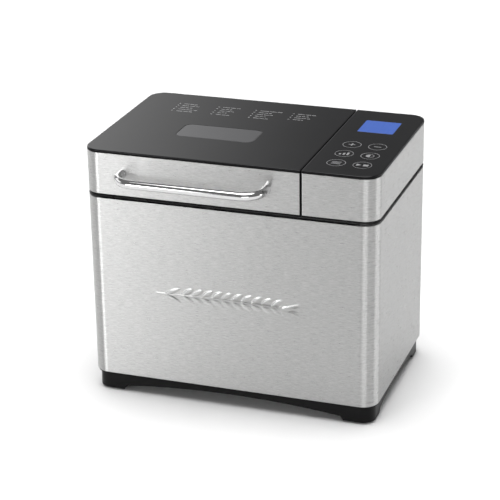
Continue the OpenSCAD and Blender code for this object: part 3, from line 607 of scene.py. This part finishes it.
def matte_edge(piece):
    """Gives a panel's upright faces the satin material."""
    upright = 0.35
    piece.data.materials.append(EDGE)
    for polygon in piece.data.polygons:
        if abs(polygon.normal.z) < upright:
            polygon.material_index = 1


def build_lid_panel():
    low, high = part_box("viewing_window")
    gap = 0.1 * MM
    points, faces = panel_with_hole(
        (LEFT, LID_RIGHT), (CORNER, 0.8 * MM, 0.8 * MM, CORNER),
        (low.x - gap, high.x + gap), (low.y - gap, high.y + gap), 9 * MM, FACE_TOP, PANEL_TOP)
    glass = make_piece("lid_glass", points, faces, GLOSS, "lid", "lid_panel",
                       angle=50)
    matte_edge(glass)


def build_control_panel():
    low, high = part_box("display_lens")
    gap = 0.1 * MM
    points, faces = panel_with_hole(
        (CONTROL_LEFT, RIGHT), (0.8 * MM, CORNER, CORNER, 0.8 * MM),
        (low.x - gap, high.x + gap), (low.y - gap, high.y + gap), 1.5 * MM, FACE_TOP, PANEL_TOP)
    glass = make_piece("control_glass", points, faces, GLOSS, "housing",
                       "control_panel", angle=50)
    matte_edge(glass)


def inset_pane(name, node, radius, material, body):
    """Pane with softened edges, in a panel's hole."""
    low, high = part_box(node)
    x, y, radii = (low.x, high.x), (low.y, high.y), [radius] * 4
    top = high.z
    edge = 0.25 * MM
    profile = [(0, low.z), (0, top - 2 * edge)]
    profile += rounded_profile(0, top, edge, 3) + [(2 * edge, top)]
    points, faces = skin_loops([inset_loop(x, y, radii, inset, z) for inset, z in profile])
    make_piece(name, points, faces, material, body, node, angle=50)


# ---- Printed marks ----

class Print:
    """Collects thin printed shapes on a panel's top into one mesh."""

    # share of the depth that stands above the panel
    PROUD = 0.4

    def __init__(self, z):
        self.z = z
        self.depth = 0.05 * MM
        self.points = []
        self.faces = []

    def prism(self, outline):
        """Thin prism over a plan outline."""
        base = len(self.points)
        count = len(outline)
        self.points += [(x, y, self.z - self.depth) for x, y in outline]
        self.points += [(x, y, self.z + self.depth * self.PROUD) for x, y in outline]
        self.faces.append(tuple(base + count + i for i in range(count)))
        self.faces.append(tuple(base + count - 1 - i for i in range(count)))
        for i in range(count):
            j = (i + 1) % count
            self.faces.append((base + i, base + j, base + count + j, base + count + i))

    def bar(self, x, y, width, depth):
        """Rectangle centred on a point."""
        w, d = width / 2, depth / 2
        self.prism([(x - w, y - d), (x + w, y - d), (x + w, y + d), (x - w, y + d)])

    def disc(self, x, y, radius, start=0, end=360, steps=32):
        count = steps + 1 if end - start < 360 else steps
        angles = [math.radians(start + (end - start) * i / steps) for i in range(count)]
        self.prism([(x + radius * math.cos(a), y + radius * math.sin(a)) for a in angles])

    def ring(self, x, y, radius, width, steps=64):
        """Flat ring as a closed band."""
        base = len(self.points)
        levels = [(radius, -1), (radius + width, -1),
                  (radius + width, self.PROUD), (radius, self.PROUD)]
        for i in range(steps):
            a = 2 * math.pi * i / steps
            self.points += [(x + r * math.cos(a), y + r * math.sin(a), self.z + level * self.depth)
                            for r, level in levels]
        for i in range(steps):
            here, ahead = base + i * 4, base + ((i + 1) % steps) * 4
            for k in range(4):
                m = (k + 1) % 4
                self.faces.append((here + k, ahead + k, ahead + m, here + m))

    def make(self, name, body):
        make_piece(name, self.points, self.faces, INK, body, angle=30)


def key_centre(column, row):
    """Centre of one key, from the CAD contact rings under the panel."""
    low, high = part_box("touch_pads")
    ring_r = 6 * MM
    x = (low.x + ring_r, high.x - ring_r)[column]
    y = low.y + ring_r + (high.y - low.y - 2 * ring_r) * row / 2
    return x, y


def build_key_prints():
    marks = Print(PANEL_TOP)
    ring_radius, line_width = 10.45 * MM, 0.6 * MM
    for column in (0, 1):
        for row in (0, 1, 2):
            marks.ring(*key_centre(column, row), ring_radius, line_width)
    x, y = key_centre(0, 2)
    marks.bar(x, y, 8 * MM, 1.3 * MM)
    marks.bar(x, y + 2.4 * MM, 1.3 * MM, 3.4 * MM)
    marks.bar(x, y - 2.4 * MM, 1.3 * MM, 3.4 * MM)
    x, y = key_centre(1, 2)
    marks.bar(x, y, 8.5 * MM, 1.4 * MM)
    x, y = key_centre(0, 1)
    for i, length in enumerate((4, 6.5, 9)):
        marks.bar(x - 4.5 * MM + i * 4.5 * MM, y - (9 - length) * MM / 2, 2.6 * MM, length * MM)
    x, y = key_centre(1, 1)
    marks.ring(x, y, 4.2 * MM, 0.8 * MM, 48)
    marks.disc(x, y, 3.9 * MM, 90, 270, 20)
    x, y = key_centre(0, 0)
    for i in (-1, 0, 1):
        marks.bar(x, y + i * 3.2 * MM, 11 * MM, 1.2 * MM)
    x, y = key_centre(1, 0)
    marks.prism([(x - 7 * MM, y - 3.6 * MM), (x - 1 * MM, y), (x - 7 * MM, y + 3.6 * MM)])
    marks.bar(x + 4 * MM, y, 6 * MM, 6 * MM)
    marks.make("key_prints", "housing")


def build_list_prints():
    """Four columns of short bars that stand for a programme list behind the window."""
    marks = Print(PANEL_TOP)
    starts = (-130 * MM, -78 * MM, -29 * MM, 20 * MM)
    first_y = FRONT + 194 * MM
    pitch = 7.2 * MM
    lengths = ((19, 24, 17, 26, 22), (24, 15, 20, 13, 19),
               (30, 18, 22, 15, 20), (24, 17, 21, 14, 0))
    word_shares = (0.42, 0.33, 0.25)
    dot_radius, indent = 1.1 * MM, 5 * MM
    word_gap, word_height = 1.1 * MM, 1.5 * MM
    for start, column in zip(starts, lengths):
        for row, length in enumerate(column):
            if not length:
                continue
            y = first_y - row * pitch
            marks.disc(start, y, dot_radius, steps=12)
            used = 0.0
            for share in word_shares:
                width = length * share * MM
                marks.bar(start + indent + used + width / 2, y, width - word_gap, word_height)
                used += width
    marks.make("list_prints", "lid")


# ---- Plastic frames ----

def build_deck_rim():
    """Rim under the lid: a dark recess with a chamfered ledge above it that catches the light."""
    ledge_z = SHELL_TOP + 1.9 * MM
    recess = -0.4 * MM
    proud = 0.04 * MM
    depth = 5 * MM
    chamfer = DECK_TOP - ledge_z - 0.3 * MM
    end_y = BACK - CORNER
    path, normals = join_paths(
        ([(LEFT, end_y)], [(-1, 0)]), left_flat(), corner_arc(-1, -1),
        flat_path((LEFT + CORNER, FRONT), (RIGHT - CORNER, FRONT), (0, -1)),
        corner_arc(1, -1), right_flat(), corner_arc(1, 1), ([(LID_RIGHT + 5 * MM, BACK)], [(0, 1)]))
    profile = [
        (-depth, SHELL_TOP + proud), (recess, SHELL_TOP + proud), (recess, ledge_z - 0.1 * MM),
        (proud - 0.2 * MM, ledge_z - proud), (proud, ledge_z + 0.2 * MM),
        (proud - 0.1 * MM, ledge_z + 0.4 * MM),
        (0.3 * MM - chamfer, DECK_TOP - 0.1 * MM), (-chamfer, DECK_TOP + proud),
        (-depth, DECK_TOP + proud),
    ]
    points, faces = sweep(path, normals, profile)
    make_piece("deck_rim", points, faces, LEDGE, "housing", angle=30)


# ---- Handle ----

def build_handle():
    """Round bar bent back to the face at both ends."""
    low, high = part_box("lid_handle")
    radius = (high.z - low.z) / 2
    z = (low.z + high.z) / 2
    bar_y = low.y + radius
    bend = 24 * MM
    legs = (low.x + radius, high.x - radius)
    path = [(legs[0], FRONT), (legs[0], bar_y + bend)]
    steps = 18
    for i in range(1, steps + 1):
        a = math.pi / 2 * i / steps
        path.append((legs[0] + bend - bend * math.cos(a), bar_y + bend - bend * math.sin(a)))
    for i in range(steps + 1):
        a = math.pi / 2 * i / steps
        path.append((legs[1] - bend + bend * math.sin(a), bar_y + bend - bend * math.cos(a)))
    path.append((legs[1], FRONT))
    sides = 40
    points, faces = [], []
    for i, (px, py) in enumerate(path):
        ahead = path[min(i + 1, len(path) - 1)]
        behind = path[max(i - 1, 0)]
        along = Vector((ahead[0] - behind[0], ahead[1] - behind[1], 0)).normalized()
        across = Vector((-along.y, along.x, 0))
        for k in range(sides):
            a = 2 * math.pi * k / sides
            offset = across * (radius * math.cos(a)) + Vector((0, 0, radius * math.sin(a)))
            points.append((px + offset.x, py + offset.y, z + offset.z))
    for i in range(len(path) - 1):
        for k in range(sides):
            m = (k + 1) % sides
            faces.append((i * sides + k, (i + 1) * sides + k, (i + 1) * sides + m, i * sides + m))
    faces.append(tuple(range(sides)))
    faces.append(tuple(range((len(path) - 1) * sides, len(path) * sides)))
    make_piece("bar_handle", points, faces, CHROME, "lid", "lid_handle", angle=60)


# ---- Soft edges on pieces that keep their CAD shape ----

def soften(node, width):
    modifier = nodes[node].modifiers.new("edge", "BEVEL")
    modifier.width = width
    modifier.segments = 2
    modifier.limit_method = "ANGLE"
    modifier.angle_limit = math.radians(35)


# ---- Stage, camera and lights ----

CAMERA_AT = (0.675, -1.947, 1.013)
CAMERA_AZIMUTH = 19.31
CAMERA_ELEVATION = 22.33
CAMERA_ROLL = 0.91
CAMERA_LENS = 131.1


def build_camera():
    data = bpy.data.cameras.new("camera")
    data.lens = CAMERA_LENS
    data.sensor_width = 36
    data.clip_end = 50
    camera = bpy.data.objects.new("camera", data)
    bpy.context.scene.collection.objects.link(camera)
    azimuth, elevation = math.radians(CAMERA_AZIMUTH), math.radians(CAMERA_ELEVATION)
    back = Vector((math.sin(azimuth) * math.cos(elevation),
                   -math.cos(azimuth) * math.cos(elevation), math.sin(elevation)))
    right = Vector((0, 0, 1)).cross(back).normalized()
    up = back.cross(right)
    turn = Matrix.Rotation(math.radians(-CAMERA_ROLL), 3, back)
    right, up = turn @ right, turn @ up
    camera.matrix_world = Matrix((
        (right.x, up.x, back.x, CAMERA_AT[0]), (right.y, up.y, back.y, CAMERA_AT[1]),
        (right.z, up.z, back.z, CAMERA_AT[2]), (0, 0, 0, 1)))
    bpy.context.scene.camera = camera


def build_floor():
    half = 6.0
    m = Nodes("studio_floor")
    cloud = m.noise((2, 2, 2), detail=2.0)
    m.link(m.mix(cloud, (0.81, 0.81, 0.81), (0.83, 0.83, 0.83)), m.shader.inputs["Base Color"])
    m.set(Roughness=0.6, Specular_IOR_Level=0.2)
    mesh = bpy.data.meshes.new("floor")
    mesh.from_pydata([(-half, -half, 0), (half, -half, 0), (half, half, 0), (-half, half, 0)], [],
                     [(0, 1, 2, 3)])
    mesh.materials.append(m.material)
    floor = bpy.data.objects.new("floor", mesh)
    bpy.context.scene.collection.objects.link(floor)


# Softboxes round the machine, in degrees: azimuth 0 is straight in front, +90 to its right.
# Each has a middle, a width, a lower and an upper edge, a brightness and the softness of its sides.
SOFTBOXES = (
    # front left key light
    (-31, 18, 2, 14, 18.0, 10),
    # front fill
    (20, 30, 2, 8, 8.0, 6),
    # right side light
    (110, 40, 2, 8, 10.0, 6),
    # left side fill
    (-100, 50, 8, 30, 1.2, 15),
    # soft light behind on the left
    (-140, 30, 8, 30, 1.8, 20),
)
BOX_FADE = 4
STUDIO_BASE = 0.2
CEILING_FROM = 70
CEILING_FADE = 5
CEILING = 9.5
BEYOND_FLOOR = 1.0


def build_world():
    """Plain studio of softboxes under a bright ceiling, for metal and gloss to reflect."""
    world = bpy.data.worlds.new("studio")
    world.use_nodes = True
    bpy.context.scene.world = world
    tree = world.node_tree
    background = tree.nodes["Background"]

    def math_node(operation, *inputs):
        node = tree.nodes.new("ShaderNodeMath")
        node.operation = operation
        for i, value in enumerate(inputs):
            if isinstance(value, (int, float)):
                node.inputs[i].default_value = value
            else:
                tree.links.new(value, node.inputs[i])
        return node.outputs[0]

    def step(value, start, end, low=0.0, high=1.0):
        """Eases from the low to the high level between two angles in degrees."""
        node = tree.nodes.new("ShaderNodeMapRange")
        node.interpolation_type = "SMOOTHSTEP"
        limits = {"From Min": start, "From Max": end, "To Min": low, "To Max": high}
        for key, number in limits.items():
            node.inputs[key].default_value = number
        tree.links.new(value, node.inputs["Value"])
        return node.outputs["Result"]

    split = tree.nodes.new("ShaderNodeSeparateXYZ")
    tree.links.new(tree.nodes.new("ShaderNodeTexCoord").outputs["Generated"], split.inputs[0])
    degrees = 180 / math.pi
    turn = math_node("ARCTAN2", split.outputs["X"], math_node("MULTIPLY", split.outputs["Y"], -1.0))
    azimuth = math_node("MULTIPLY", turn, degrees)
    elevation = math_node("MULTIPLY", math_node("ARCSINE", split.outputs["Z"]), degrees)

    ceiling = step(elevation, CEILING_FROM - CEILING_FADE, CEILING_FROM + CEILING_FADE, 0, CEILING)
    level = math_node("ADD", ceiling, STUDIO_BASE)
    # below the horizon the studio carries on in the floor's white
    level = math_node("ADD", level, step(elevation, -1, 1, BEYOND_FLOOR, 0))
    for middle, width, low, high, brightness, softness in SOFTBOXES:
        offset = math_node("WRAP", math_node("SUBTRACT", azimuth, float(middle)), 180.0, -180.0)
        aside = math_node("ABSOLUTE", offset)
        across = step(aside, (width - softness) / 2, (width + softness) / 2, 1, 0)
        rise = step(elevation, low - BOX_FADE, low + BOX_FADE)
        fall = step(elevation, high - BOX_FADE, high + BOX_FADE, 1, 0)
        box = math_node("MULTIPLY", math_node("MULTIPLY", across, rise), fall)
        level = math_node("ADD", level, math_node("MULTIPLY", box, float(brightness)))
    background.inputs["Color"].default_value = (1, 1, 1, 1)
    tree.links.new(level, background.inputs["Strength"])


def build_stage():
    build_camera()
    build_floor()
    build_world()
    bpy.context.scene.view_settings.view_transform = "Standard"


dress_frame()
build_body_shell()
build_lid_skin()
build_control_fascia()
build_lid_panel()
build_control_panel()
inset_pane("window_pane", "viewing_window", 8.9 * MM, WINDOW, "lid")
inset_pane("display_pane", "display_lens", 1.4 * MM, DISPLAY, "housing")
build_key_prints()
build_list_prints()
build_deck_rim()
build_handle()
soften("base_plinth", 0.8 * MM)
soften("rear_screws", 0.3 * MM)
soften("cord_gland", 0.8 * MM)
build_stage()
